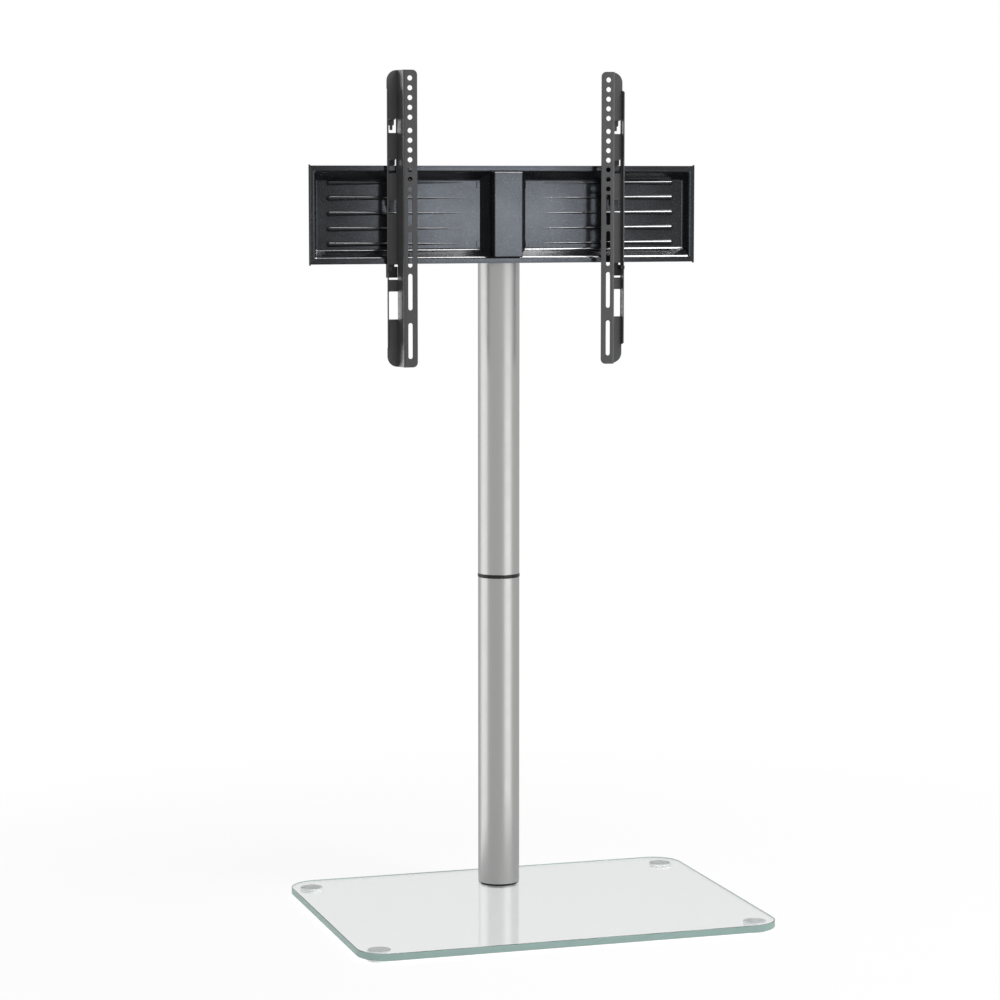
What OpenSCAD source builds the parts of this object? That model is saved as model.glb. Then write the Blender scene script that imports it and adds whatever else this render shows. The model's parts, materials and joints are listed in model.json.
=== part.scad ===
// Free-standing screen stand: a glass base plate on four glides, a round two-piece tube,
// and a pressed steel mount pan that carries two sliding hook rails with screw holes.
// Millimetres, +Z up, -Y towards the viewer. The origin is on the floor, under the middle
// of the glass plate, and the tube stands towards the back of the plate.

/* [Glass base] */
// Width of the glass plate
plate_w = 600; // [500:10:800]
// Depth of the glass plate
plate_d = 450; // [400:10:600]
// Thickness of the glass plate
plate_t = 10; // [8:1:15]
// Radius of the plate's corners
plate_corner_r = 42; // [10:1:60]
// Diameter of a glide foot
foot_d = 32; // [24:1:44]
// Height of a glide foot
foot_h = 6; // [6:0.5:12]
// Distance of a foot's middle from the plate's left or right edge
foot_side_inset = 30; // [24:1:60]
// Distance of a foot's middle from the plate's front or back edge
foot_end_inset = 35; // [24:1:60]

/* [Tube] */
// Outside diameter of the tube
tube_d = 60; // [50:1:60]
// Wall of the tube
tube_wall = 2; // [1.5:0.5:4]
// Distance of the tube's axis from the plate's back edge
tube_inset = 85; // [60:1:140]
// Length of the lower tube
lower_tube_len = 449; // [300:1:600]
// Length of the upper tube
upper_tube_len = 560; // [480:1:800]
// Height of the black ring between the two tubes
ring_h = 5; // [3:0.5:10]
// How far the ring stands proud of the tube
ring_proud = 0.5; // [0:0.1:1]

/* [Mount pan] */
// Width of the pan
pan_w = 574; // [540:2:700]
// Height of the pan
pan_h = 138; // [137:1:150]
// Sheet thickness of the pan
pan_t = 2; // [1.5:0.5:2.5]
// Width of the flat rim round the recess
pan_rim = 8.5; // [7:0.5:12]
// Depth of the recess
pan_depth = 14; // [14:0.5:18]
// Run of the recess's sloping top and bottom walls
pan_slope_run = 11; // [8:0.5:14]
// Run of the recess's steep end walls
pan_end_run = 4; // [2:0.5:8]
// Depth of the lip turned back along the pan's edges
pan_lip = 4; // [3:0.5:6]
// Height of the tube's top end above the middle of the pan
tube_top_rise = 42; // [36:1:44]
// How far each end flange stands out above and below the pan
ear_rise = 1.5; // [0:0.5:3]
// Number of ribs on each side of the pan
rib_count = 5; // [3:1:5]
// Distance between ribs
rib_pitch = 21.6; // [20:0.1:21.6]
// Height of a rib's round end above the recess floor
rib_r = 3.8; // [2.6:0.1:4]
// Distance of the ribs' pointed ends from the middle of the pan
rib_inner_x = 62; // [60:1:90]
// Distance of the ribs' round ends from the edge of the pan
rib_outer_gap = 32; // [20:1:60]

/* [Centre channel] */
// Width of the channel's front face
channel_face_w = 42.5; // [38:0.5:44]
// Width of the channel where its flared foot begins
channel_neck_w = 46; // [44.5:0.5:48]
// Width of the channel on the recess floor
channel_base_w = 68; // [66:1:76]
// How far the channel stands in front of the pan's rim
channel_reach = 15; // [8:0.5:18]

/* [Rails] */
// Length of a rail
rail_len = 416; // [412:1:460]
// Height of a rail's middle below the middle of the pan
rail_drop = 6; // [0:1:9]
// Sheet thickness of a rail
rail_t = 1.5; // [1.5:0.5:2]
// Distance of each rail's hole line from the middle of the pan, as shown
rail_x = 147; // [120:1:160]
// Depth from a rail's front face to its back face
rail_depth = 22.3; // [19:0.1:24]
// Diameter of a round screw hole
hole_d = 7.2; // [6.5:0.1:9]
// Distance between round screw holes
hole_pitch = 13.6; // [13:0.1:13.6]
// Distance across the wider gap between the two groups of round holes
hole_gap = 18.4; // [16:0.1:19]
// Width of a screw slot
slot_w = 6.5; // [4.5:0.1:7]
// Depth of the return flange along a rail's outer edge
return_depth = 7.9; // [6:0.1:12]

/* [Hidden] */
$fn = 96;
LEFT = -1;
RIGHT = 1;

// Overrun that carries every cut past the faces it goes through
cut = 1;
// Gap between pieces that slide past each other
slide_gap = 0.3;
// Play round a screw or a stud in its hole or thread
thread_gap = 0.05;

// Parts under and in the glass
bolt_d = 12;
bolt_head_d = 26;
bolt_head_h = 2.2;
bolt_socket_d = 8;
bolt_grip = 24;
bush_wall = 2;
gasket_t = 1;
gasket_inset = 0.6;
clamp_disc_d = 52;
clamp_disc_t = 2;
foot_edge = 1.2;
clamp_disc_z = foot_h - gasket_t - clamp_disc_t;

// Parts in the tube
plug_len = 30;
plug_gap = 0.05;
stud_grip = 22;
cap_t = 3;
cap_skirt_len = 12;
cap_skirt_wall = 2;
cap_gap = 0.2;

tube_back = plate_d / 2 - tube_inset;
glass_top = foot_h + plate_t;
lower_tube_z = glass_top + gasket_t;
ring_z = lower_tube_z + lower_tube_len;
upper_tube_z = ring_z + ring_h;
upper_tube_top = upper_tube_z + upper_tube_len;
tube_r = tube_d / 2;
tube_bore_r = tube_r - tube_wall;

// Planes of the pan, measured from the tube's axis. The rim runs just in front of the tube.
rim_gap = 1;
pan_mid = upper_tube_top - tube_top_rise;
pan_top = pan_mid + pan_h / 2;
pan_bottom = pan_mid - pan_h / 2;
rim_y = -tube_r - rim_gap - pan_t;
floor_y = rim_y + pan_depth;
floor_back_y = floor_y + pan_t;
recess_half_h = pan_h / 2 - pan_rim;
floor_half_h = recess_half_h - pan_slope_run;
recess_half_w = pan_w / 2 - pan_rim;
end_flange_t = 2;
rib_shift = 2;
rib_tip_r = 0.5;
rib_tip_bore_r = 0.05;
rib_wall = 1.2;
rib_outer_x = pan_w / 2 - rib_outer_gap;

// Opening in the pan for the tube, and how far it clears the tube
tube_clearance = 1;
notch_clearance = 0.8;
window_edge = 2;
window_half_w = tube_r + tube_clearance;

// Channel, its tabs and the cradles inside it
channel_t = 2;
channel_front_y = rim_y - channel_reach;
tab_w = 5;
tab_h = 9;
tab_t = 1.2;
tab_rise = 42;
cradle_h = 20;
cradle_rise = 28;
cradle_gap = 0.1;
cradle_half_w = window_half_w - cradle_gap;
// Outline of the channel from above, from one foot over the front face to the other
channel_line = [
    [channel_base_w / 2, floor_y], [channel_neck_w / 2, rim_y], [channel_face_w / 2, channel_front_y],
    [-channel_face_w / 2, channel_front_y], [-channel_neck_w / 2, rim_y], [-channel_base_w / 2, floor_y],
];

// Straps that hold the tube to the pan
strap_t = 3;
strap_h = 24;
strap_flange = 26;
strap_hole_in = 14;
strap_stud_x = tube_r + strap_t + strap_hole_in;
strap_stud_d = 6;
strap_stud_len = 16;
strap_hole_play = 0.3;
washer_d = 12;
washer_t = 1.6;
nut_across = 11.5;
nut_h = 5;

// Rail section, with u outwards from the hole line and v back from the front face
flange_in = 10.5;
flange_out = 9.3;
web_slant = 4.1;
rear_out = 28;
flange_corner_r = 7;
rear_corner_r = 15;
rail_gap = 0.4;
// The front flange, the slanted web and the rear flange, along their outer faces
rail_line = [
    [-flange_in, 0], [flange_out, 0], [flange_out + web_slant, rail_depth - rail_t],
    [rear_out, rail_depth - rail_t],
];
rail_front_y = rim_y - rail_gap - rail_depth;
rail_mid = pan_mid - rail_drop;
rail_top = rail_mid + rail_len / 2;
// The drop from the rail's top end to the pan's top and bottom edges
pan_top_drop = rail_top - pan_top;
pan_bottom_drop = rail_top - pan_bottom;

// Screw holes, measured down from the rail's top end
top_hole_drop = 11.5;
upper_hole_count = 5;
lower_hole_count = 7;
// Each slot's middle and length, as shares of the rail's length
slot_drop_shares = [0.47, 0.6024, 0.7451, 0.9104];
slot_len_shares = [0.1058, 0.1202, 0.1231, 0.1212];

// Punched hooks: an opening with a tongue bent back and down, which steps in to its tip
hook_pitch = 56.5;
hook_opening_in = 14.5;
hook_opening_out = 25.5;
hook_opening_h = 20;
hook_root_w = 8.4;
hook_tip_w = 4;
hook_back = 6.4;
hook_shoulder = 8.5;
hook_step = 1.5;
hook_down = 16;
glide_h = 7.2;
hook_u = (hook_opening_in + hook_opening_out) / 2;

// The middle hook hangs on the pan's top edge, with the glide between them
middle_hook_drop = pan_top_drop - slide_gap - glide_h - rail_t;
hook_drops = [for (i = [-1:1]) middle_hook_drop + i * hook_pitch];

// Latch window just under the pan, and the finger window below it
window_in = 12.5;
window_out = 26;
latch_window_gap = 0.8;
latch_window_h = 21.2;
window_bridge = 16.7;
finger_window_h = 39.2;
latch_window_drop = pan_bottom_drop + latch_window_gap;
finger_window_drop = latch_window_drop + latch_window_h + window_bridge;

// Return flange: it leans outwards, and its front edge is shorter than its root at each end
return_lean = 1.5;
return_top_drop = 26;
return_bottom_gap = 27;
return_slant = 2;
return_front_v = rail_depth - return_depth;
return_line = [
    [rear_out, rail_depth - rail_t / 2], [rear_out, rail_depth - rail_t],
    [rear_out + return_lean, return_front_v], [rear_out + return_lean - rail_t, return_front_v],
    [rear_out - rail_t, rail_depth - rail_t], [rear_out - rail_t, rail_depth - rail_t / 2],
];

// Latch: a block behind the rear flange, with an arm through the latch window whose lip
// lies in front of the return flange. Its travel ends at the window's lower edge.
latch_h = 19;
latch_travel = 12;
latch_play = 0.3;
latch_arm_t = 2;
latch_arm_h = 5;
latch_lip_t = 1.5;
latch_lip_rise = 5;
// Relief in the top corner that lies to the viewer's right on both latches
relief_w = 4.5;
relief_h = 3.5;

glass_colour = [0.80, 0.90, 0.88, 0.45];
aluminium_colour = [0.78, 0.78, 0.77];
steel_colour = [0.62, 0.63, 0.65];
pan_colour = [0.20, 0.21, 0.25];
rail_colour = [0.30, 0.31, 0.31];
black_colour = [0.05, 0.05, 0.06];
grey_plastic_colour = [0.62, 0.64, 0.64];

// Unit vector across the line from a to b, to its left
function across(a, b) = [a.y - b.y, b.x - a.x] / norm(b - a);
// Corner i of an open line of points, moved by t to the line's left
function moved_corner(pts, i, t) =
    let (last = len(pts) - 1)
    let (before = across(pts[max(i - 1, 0)], pts[max(i, 1)]))
    let (after = across(pts[min(i, last - 1)], pts[min(i + 1, last)]))
    pts[i] + t * (before + after) / (1 + before * after);
function moved(pts, t) = [for (i = [0:len(pts) - 1]) moved_corner(pts, i, t)];
// Closed outline of a bent sheet: the line of points, and the same line moved by t
function sheet(pts, t) =
    let (inner = moved(pts, t))
    concat(pts, [for (i = [len(pts) - 1:-1:0]) inner[i]]);

module tube_frame() {
    translate([0, tube_back, 0]) children();
}

// Extrudes an outline drawn in Y and Z along X, about the middle
module along_x(length) {
    rotate([90, 0, 90]) translate([0, 0, -length / 2]) linear_extrude(length) children();
}

module along_z(length) {
    translate([0, 0, -length / 2]) linear_extrude(length) children();
}

// A round bar along Y from y0 to y1
module pin_y(d, y0, y1) {
    translate([0, y1, 0]) rotate([90, 0, 0]) cylinder(d = d, h = y1 - y0);
}

module rounded_plate(w, d, r) {
    square([w - 2 * r, d], center = true);
    square([w, d - 2 * r], center = true);
    for (sx = [-1, 1], sy = [-1, 1])
        translate([sx * (w / 2 - r), sy * (d / 2 - r)]) circle(r);
}

// What has to go from a square corner at the origin to leave a radius, inside being +X +Y
module corner_waste(r) {
    difference() {
        translate([-cut, -cut]) square(r + cut);
        translate([r, r]) circle(r);
    }
}

module glass_plate() {
    color(glass_colour) translate([0, 0, foot_h])
        difference() {
            linear_extrude(plate_t) rounded_plate(plate_w, plate_d, plate_corner_r);
            translate([0, tube_back, -cut])
                cylinder(d = bolt_d + 2 * bush_wall + 2 * thread_gap, h = plate_t + 2 * cut);
        }
}

module foot(side, end) {
    color(grey_plastic_colour)
        translate([side * (plate_w / 2 - foot_side_inset), end * (plate_d / 2 - foot_end_inset), 0]) {
            translate([0, 0, foot_edge]) cylinder(d = foot_d, h = foot_h - foot_edge);
            cylinder(d1 = foot_d - 2 * foot_edge, d2 = foot_d, h = foot_edge);
        }
}

module foot_front_left() { foot(LEFT, -1); }
module foot_front_right() { foot(RIGHT, -1); }
module foot_back_left() { foot(LEFT, 1); }
module foot_back_right() { foot(RIGHT, 1); }

// A flat ring whose lower face is at height z
module disc(z, h, d, bore) {
    tube_frame() translate([0, 0, z]) difference() {
        cylinder(d = d, h = h);
        translate([0, 0, -cut]) cylinder(d = bore, h = h + 2 * cut);
    }
}

module base_gasket() {
    color(black_colour) disc(glass_top, gasket_t, tube_d - 2 * gasket_inset, bolt_d + 2 * bush_wall);
}

module glass_bush() {
    color(black_colour) disc(foot_h, plate_t, bolt_d + 2 * bush_wall, bolt_d + 2 * thread_gap);
}

module under_gasket() {
    color(black_colour) disc(foot_h - gasket_t, gasket_t, clamp_disc_d, bolt_d + 2 * bush_wall);
}

module clamp_disc() {
    color(steel_colour) disc(clamp_disc_z, clamp_disc_t, clamp_disc_d, bolt_d + 2 * thread_gap);
}

module base_bolt() {
    color(steel_colour) tube_frame() difference() {
        union() {
            translate([0, 0, clamp_disc_z]) cylinder(d = bolt_d, h = lower_tube_z + bolt_grip - clamp_disc_z);
            translate([0, 0, clamp_disc_z - bolt_head_h]) cylinder(d = bolt_head_d, h = bolt_head_h);
        }
        translate([0, 0, clamp_disc_z - bolt_head_h - cut])
            cylinder(d = bolt_socket_d, h = cut + bolt_head_h, $fn = 6);
    }
}

// A turned plug that fills one end of a tube, threaded for the bolt or the stud
module tube_plug(z) {
    color(steel_colour) disc(z, plug_len, 2 * (tube_bore_r - plug_gap), bolt_d + 2 * thread_gap);
}

module tube(z, length) {
    color(aluminium_colour) disc(z, length, tube_d, 2 * tube_bore_r);
}

module base_plug() { tube_plug(lower_tube_z); }
module lower_tube() { tube(lower_tube_z, lower_tube_len); }
module lower_joint_plug() { tube_plug(ring_z - plug_len); }
module upper_joint_plug() { tube_plug(upper_tube_z); }
module upper_tube() { tube(upper_tube_z, upper_tube_len); }

module joint_ring() {
    color(black_colour) disc(ring_z, ring_h, tube_d + 2 * ring_proud, bolt_d + 2 * thread_gap);
}

module joint_stud() {
    color(steel_colour) tube_frame() translate([0, 0, ring_z - stud_grip])
        cylinder(d = bolt_d, h = ring_h + 2 * stud_grip);
}

module tube_cap() {
    color(black_colour) tube_frame() translate([0, 0, upper_tube_top]) {
        cylinder(d = tube_d, h = cap_t);
        translate([0, 0, -cap_skirt_len]) difference() {
            cylinder(r = tube_bore_r - cap_gap, h = cap_skirt_len);
            translate([0, 0, -cut])
                cylinder(r = tube_bore_r - cap_gap - cap_skirt_wall, h = cap_skirt_len + cut);
        }
    }
}

module pan_frame() {
    translate([0, tube_back, pan_mid]) children();
}

// The space inside the recess, grown back and outwards by g. Its front is carried to y0.
module recess_space(y0, g) {
    slope = pan_slope_run / pan_depth;
    steep = pan_end_run / pan_depth;
    h0 = recess_half_h + g * sqrt(1 + slope * slope) + slope * (rim_y - y0);
    h1 = recess_half_h + g * sqrt(1 + slope * slope) - slope * (pan_depth + g);
    w0 = recess_half_w + g * sqrt(1 + steep * steep) + steep * (rim_y - y0);
    w1 = recess_half_w + g * sqrt(1 + steep * steep) - steep * (pan_depth + g);
    intersection() {
        along_x(2 * pan_w) polygon([[y0, -h0], [floor_y + g, -h1], [floor_y + g, h1], [y0, h0]]);
        along_z(2 * pan_h) polygon([[-w0, y0], [-w1, floor_y + g], [w1, floor_y + g], [w0, y0]]);
    }
}

// One rib lying along X on the recess floor: a half cone with a round outer end
module rib(r_out, r_in) {
    length = rib_outer_x - rib_inner_x;
    translate([length, 0, 0]) rotate([0, 90, 0]) rotate_extrude() {
        polygon([[0, -length], [r_in, -length], [r_out, 0], [0, 0]]);
        intersection() {
            circle(r_out);
            square(r_out);
        }
    }
}

module ribs(r_out, r_in) {
    for (side = [0, 1], i = [0:rib_count - 1])
        mirror([side, 0, 0])
            translate([rib_inner_x, floor_y, rib_shift + (i - (rib_count - 1) / 2) * rib_pitch])
                rib(r_out, r_in);
}

module mount_pan() {
    color(pan_colour) pan_frame() difference() {
        union() {
            difference() {
                union() {
                    // The rim, hollow behind out to its lips
                    difference() {
                        translate([-pan_w / 2, rim_y, -pan_h / 2]) cube([pan_w, pan_lip, pan_h]);
                        translate([-pan_w / 2 + end_flange_t, rim_y + pan_t, -pan_h / 2 + pan_t])
                            cube([pan_w - 2 * end_flange_t, pan_lip, pan_h - 2 * pan_t]);
                    }
                    recess_space(rim_y, pan_t);
                }
                recess_space(rim_y - cut, 0);
            }
            intersection() {
                ribs(rib_r, rib_tip_r);
                translate([-pan_w / 2, floor_y - 2 * rib_r, -pan_h / 2])
                    cube([pan_w, 2 * rib_r + pan_t / 2, pan_h]);
            }
            for (side = [0, 1]) mirror([side, 0, 0])
                translate([pan_w / 2 - end_flange_t, rim_y, -pan_h / 2 - ear_rise])
                    cube([end_flange_t, pan_lip, pan_h + 2 * ear_rise]);
        }
        ribs(rib_r - rib_wall, rib_tip_bore_r);
        // Window behind the channel, and a round notch below it where the tube comes in
        translate([-window_half_w, floor_y - cut, window_edge - floor_half_h])
            cube([2 * window_half_w, pan_t + 2 * cut, 2 * (floor_half_h - window_edge)]);
        translate([0, 0, -pan_h / 2 - cut]) cylinder(r = tube_r + notch_clearance, h = pan_h / 2 + cut);
    }
}

module channel_inside(gap) {
    intersection() {
        polygon(moved(channel_line, -channel_t - gap));
        translate([-channel_base_w, channel_front_y]) square([2 * channel_base_w, floor_y - channel_front_y]);
    }
}

module channel_envelope() {
    along_x(channel_base_w + 2 * tab_w)
        polygon([[channel_front_y, -recess_half_h], [rim_y, -recess_half_h], [floor_y, -floor_half_h],
                 [floor_y, floor_half_h], [rim_y, recess_half_h], [channel_front_y, recess_half_h]]);
}

module centre_channel() {
    color(pan_colour) pan_frame() {
        intersection() {
            channel_envelope();
            union() {
                along_z(pan_h) difference() {
                    polygon(channel_line);
                    channel_inside(0);
                    translate([-channel_base_w, floor_y]) square([2 * channel_base_w, pan_depth]);
                }
                // End walls of the box in front of the rim
                for (side = [0, 1]) mirror([0, 0, side])
                    translate([0, 0, recess_half_h - channel_t]) linear_extrude(channel_t)
                        intersection() {
                            polygon(channel_line);
                            translate([-channel_base_w, channel_front_y])
                                square([2 * channel_base_w, channel_reach]);
                        }
            }
        }
        for (side = [0, 1], end = [-1, 1]) mirror([side, 0, 0])
            translate([channel_base_w / 2 - tab_t, floor_y - tab_t, end * tab_rise - tab_h / 2])
                cube([tab_w + tab_t, tab_t, tab_h]);
    }
}

// A block inside the channel whose hollow takes the front of the tube
module cradle(end) {
    color(black_colour) pan_frame() translate([0, 0, end * cradle_rise])
        along_z(cradle_h) difference() {
            polygon(concat(
                [[cradle_half_w, floor_back_y], [cradle_half_w, floor_y]],
                [for (i = [1:4]) moved_corner(channel_line, i, -channel_t - cradle_gap)],
                [[-cradle_half_w, floor_y], [-cradle_half_w, floor_back_y]]));
            circle(tube_r);
        }
}

module upper_cradle() { cradle(1); }
module lower_cradle() { cradle(-1); }

module strap(end) {
    color(black_colour) pan_frame() translate([0, 0, end * cradle_rise]) difference() {
        along_z(strap_h) difference() {
            union() {
                circle(tube_r + strap_t);
                translate([-tube_r - strap_t, floor_back_y]) square([2 * (tube_r + strap_t), -floor_back_y]);
                translate([-tube_r - strap_t - strap_flange, floor_back_y])
                    square([2 * (tube_r + strap_t + strap_flange), strap_t]);
            }
            circle(tube_r);
            translate([-tube_r, floor_back_y - tube_d]) square([tube_d, tube_d - floor_back_y]);
            translate([-tube_d, floor_back_y - tube_d]) square([2 * tube_d, tube_d]);
        }
        for (side = [-1, 1])
            translate([side * strap_stud_x, 0, 0])
                pin_y(strap_stud_d + 2 * strap_hole_play, floor_back_y - cut, floor_back_y + strap_t + cut);
    }
}

module upper_strap() { strap(1); }
module lower_strap() { strap(-1); }

// The four places where the straps are fastened, on the back of the pan
module at_strap_studs() {
    pan_frame()
        for (side = [-1, 1], end = [-1, 1])
            translate([side * strap_stud_x, floor_back_y, end * cradle_rise]) children();
}

module strap_studs() {
    color(steel_colour) at_strap_studs() pin_y(strap_stud_d, 0, strap_stud_len);
}

module strap_washers() {
    color(steel_colour) at_strap_studs() difference() {
        pin_y(washer_d, strap_t, strap_t + washer_t);
        pin_y(strap_stud_d + 2 * strap_hole_play, strap_t - cut, strap_t + washer_t + cut);
    }
}

module strap_nuts() {
    color(steel_colour) at_strap_studs() translate([0, strap_t + washer_t, 0]) difference() {
        translate([0, nut_h, 0]) rotate([90, 0, 0]) cylinder(d = nut_across, h = nut_h, $fn = 6);
        pin_y(strap_stud_d + 2 * thread_gap, -cut, nut_h + cut);
    }
}

// Places a rail's own frame: origin at the top end on the hole line, X outwards, Y back
module rail_frame(side) {
    translate([side * rail_x, tube_back + rail_front_y, rail_top])
        mirror([side < 0 ? 1 : 0, 0, 0]) children();
}

module screw_slot(drop, length) {
    centre_half = (length - slot_w) / 2;
    translate([0, 0, -drop]) {
        for (end = [-1, 1]) translate([0, 0, end * centre_half]) pin_y(slot_w, -cut, rail_t + cut);
        translate([-slot_w / 2, -cut, -centre_half]) cube([slot_w, rail_t + 2 * cut, 2 * centre_half]);
    }
}

// A window through the rear flange, from u0 to u1, with its top edge at drop
module rear_window(u0, u1, drop, height) {
    translate([u0, rail_depth - rail_t - cut, -drop - height]) cube([u1 - u0, rail_t + 2 * cut, height]);
}

module rail_outline() {
    difference() {
        translate([-flange_in, -rail_len]) square([flange_in + rear_out, rail_len]);
        translate([-flange_in, 0]) mirror([0, 1]) corner_waste(flange_corner_r);
        translate([-flange_in, -rail_len]) corner_waste(flange_corner_r);
        translate([rear_out, 0]) rotate(180) corner_waste(rear_corner_r);
        translate([rear_out, -rail_len]) mirror([1, 0]) corner_waste(rear_corner_r);
    }
}

// A tongue that goes back from the top of its opening, then down
module hook(drop) {
    translate([hook_u, 0, -drop]) {
        translate([-hook_root_w / 2, rail_depth - rail_t, -rail_t])
            cube([hook_root_w, hook_back + rail_t, rail_t]);
        translate([0, rail_depth + hook_back, 0]) rotate([90, 0, 0]) linear_extrude(rail_t)
            polygon([[-hook_root_w / 2, 0], [-hook_root_w / 2, -hook_shoulder],
                     [-hook_tip_w / 2, -hook_shoulder - hook_step], [-hook_tip_w / 2, -hook_down],
                     [hook_tip_w / 2, -hook_down], [hook_tip_w / 2, -hook_shoulder - hook_step],
                     [hook_root_w / 2, -hook_shoulder], [hook_root_w / 2, 0]]);
    }
}

module return_flange() {
    top = -return_top_drop;
    bottom = return_bottom_gap - rail_len;
    intersection() {
        translate([0, 0, -rail_len]) linear_extrude(rail_len) polygon(return_line);
        rotate([90, 0, 90]) linear_extrude(2 * rear_out)
            polygon([[return_front_v, bottom + return_slant], [rail_depth, bottom],
                     [rail_depth, top], [return_front_v, top - return_slant]]);
    }
}

module rail(side) {
    color(rail_colour) rail_frame(side) difference() {
        union() {
            intersection() {
                translate([0, 0, -rail_len]) linear_extrude(rail_len) polygon(sheet(rail_line, rail_t));
                translate([0, rail_depth + cut, 0]) rotate([90, 0, 0])
                    linear_extrude(rail_depth + 2 * cut) rail_outline();
            }
            return_flange();
        }
        for (i = [0:upper_hole_count - 1])
            translate([0, 0, -top_hole_drop - i * hole_pitch]) pin_y(hole_d, -cut, rail_t + cut);
        for (i = [0:lower_hole_count - 1])
            translate([0, 0, -top_hole_drop - hole_gap - (upper_hole_count - 1 + i) * hole_pitch])
                pin_y(hole_d, -cut, rail_t + cut);
        for (i = [0:len(slot_drop_shares) - 1])
            screw_slot(rail_len * slot_drop_shares[i], rail_len * slot_len_shares[i]);
        for (drop = hook_drops) rear_window(hook_opening_in, hook_opening_out, drop, hook_opening_h);
        rear_window(window_in, window_out, latch_window_drop, latch_window_h);
        rear_window(window_in, window_out, finger_window_drop, finger_window_h);
    }
    color(rail_colour) rail_frame(side)
        for (drop = hook_drops) hook(drop);
}

module left_rail() { rail(LEFT); }
module right_rail() { rail(RIGHT); }

// A plastic block under the middle hook, which slides on the pan's top edge
module glide(side) {
    color(black_colour) rail_frame(side)
        translate([hook_u - hook_root_w / 2, rail_depth, -pan_top_drop + slide_gap])
            cube([hook_root_w, hook_back - rail_t, glide_h]);
}

module left_glide() { glide(LEFT); }
module right_glide() { glide(RIGHT); }

// A block that slides down to free the rail. Its rear lip stands behind the pan's bottom lip.
module latch(side) {
    top = -pan_bottom_drop - slide_gap;
    back_v = rail_depth + hook_back;
    arm_u = window_out - latch_play - latch_arm_t;
    arm_z = -latch_window_drop - latch_window_h + latch_play + latch_travel;
    lip_v = return_front_v - latch_play - latch_lip_t;
    lip_out = rear_out + return_lean;
    relief_u = side < 0 ? window_in - cut : rear_out - relief_w;
    color(black_colour) rail_frame(side) difference() {
        union() {
            translate([window_in, rail_depth + latch_play, top - latch_h])
                cube([rear_out - window_in, hook_back - latch_play, latch_h]);
            translate([window_in, back_v - latch_lip_t, top - latch_h])
                cube([rear_out - window_in, latch_lip_t, latch_h + slide_gap + latch_lip_rise]);
            translate([arm_u, lip_v, arm_z])
                cube([latch_arm_t, rail_depth + 2 * latch_play - lip_v, latch_arm_h]);
            translate([arm_u, lip_v, arm_z])
                cube([lip_out - arm_u, latch_lip_t, latch_arm_h]);
        }
        translate([relief_u, rail_depth, top - relief_h])
            cube([relief_w + cut, hook_back + cut, relief_h + slide_gap + latch_lip_rise + cut]);
    }
}

module left_latch() { latch(LEFT); }
module right_latch() { latch(RIGHT); }

glass_plate();
foot_front_left();
foot_front_right();
foot_back_left();
foot_back_right();
base_gasket();
glass_bush();
under_gasket();
clamp_disc();
base_bolt();
base_plug();
lower_tube();
lower_joint_plug();
joint_ring();
joint_stud();
upper_joint_plug();
upper_tube();
tube_cap();
mount_pan();
centre_channel();
upper_cradle();
lower_cradle();
upper_strap();
lower_strap();
strap_studs();
strap_washers();
strap_nuts();
left_rail();
right_rail();
left_glide();
right_glide();
left_latch();
right_latch();
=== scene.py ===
"""Looks of the screen stand: its detailed pieces, finishes, light and camera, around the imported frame."""

import json
import math

import bpy
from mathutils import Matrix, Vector

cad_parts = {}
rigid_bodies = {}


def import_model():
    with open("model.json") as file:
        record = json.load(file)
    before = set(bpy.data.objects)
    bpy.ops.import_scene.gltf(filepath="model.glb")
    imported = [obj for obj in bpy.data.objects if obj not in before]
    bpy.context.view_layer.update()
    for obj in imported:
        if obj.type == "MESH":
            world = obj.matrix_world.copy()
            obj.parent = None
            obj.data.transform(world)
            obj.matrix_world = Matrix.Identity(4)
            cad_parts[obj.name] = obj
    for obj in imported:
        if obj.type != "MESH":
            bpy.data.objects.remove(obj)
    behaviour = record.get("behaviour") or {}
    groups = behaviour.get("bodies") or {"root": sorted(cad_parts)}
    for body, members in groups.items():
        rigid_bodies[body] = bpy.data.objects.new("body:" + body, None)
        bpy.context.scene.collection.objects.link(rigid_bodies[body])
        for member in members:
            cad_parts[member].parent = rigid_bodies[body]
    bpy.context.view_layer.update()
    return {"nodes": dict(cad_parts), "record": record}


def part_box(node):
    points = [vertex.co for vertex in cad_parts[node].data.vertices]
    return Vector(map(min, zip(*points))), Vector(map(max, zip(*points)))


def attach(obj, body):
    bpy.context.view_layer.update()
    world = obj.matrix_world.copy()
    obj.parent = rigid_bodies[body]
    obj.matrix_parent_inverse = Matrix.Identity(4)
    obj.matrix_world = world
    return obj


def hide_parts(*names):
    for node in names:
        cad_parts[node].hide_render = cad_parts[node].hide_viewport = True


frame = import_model()

MM = 0.001
LEFT = -1
RIGHT = 1
SIDE_NAMES = {LEFT: "left", RIGHT: "right"}

# What counts as touching, as the same place, as one flat face and as facing along an axis
NEAR = 0.35 * MM
SAME = 0.001 * MM
FLAT_ANGLE = math.radians(1)
FACING = 0.9

# Camera
EYE = (-1.3042, -4.0589, 1.0377)
EYE_TURN = math.radians(-17.28)
EYE_TILT = math.radians(84.02)
LENS = 109.95
SENSOR = 36
CLIP_END = 50

# Glass plate
PLATE_CORNER = 42 * MM
PLATE_EASE = 0.9 * MM
PLATE_SIDE_SHARE = 0.5
PLATE_HOLE_PLAY = 0.05 * MM
PLATE_CUTTER = 50 * MM

# Feet, from the rim of the sole inwards
SOLE_RIM = 4 * MM
SOLE_GROOVE = 3 * MM
SOLE_GROOVE_DEPTH = 0.8 * MM
SOLE_MIDDLE_DROP = 0.5 * MM
FOOT_EASE = 0.8 * MM

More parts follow.
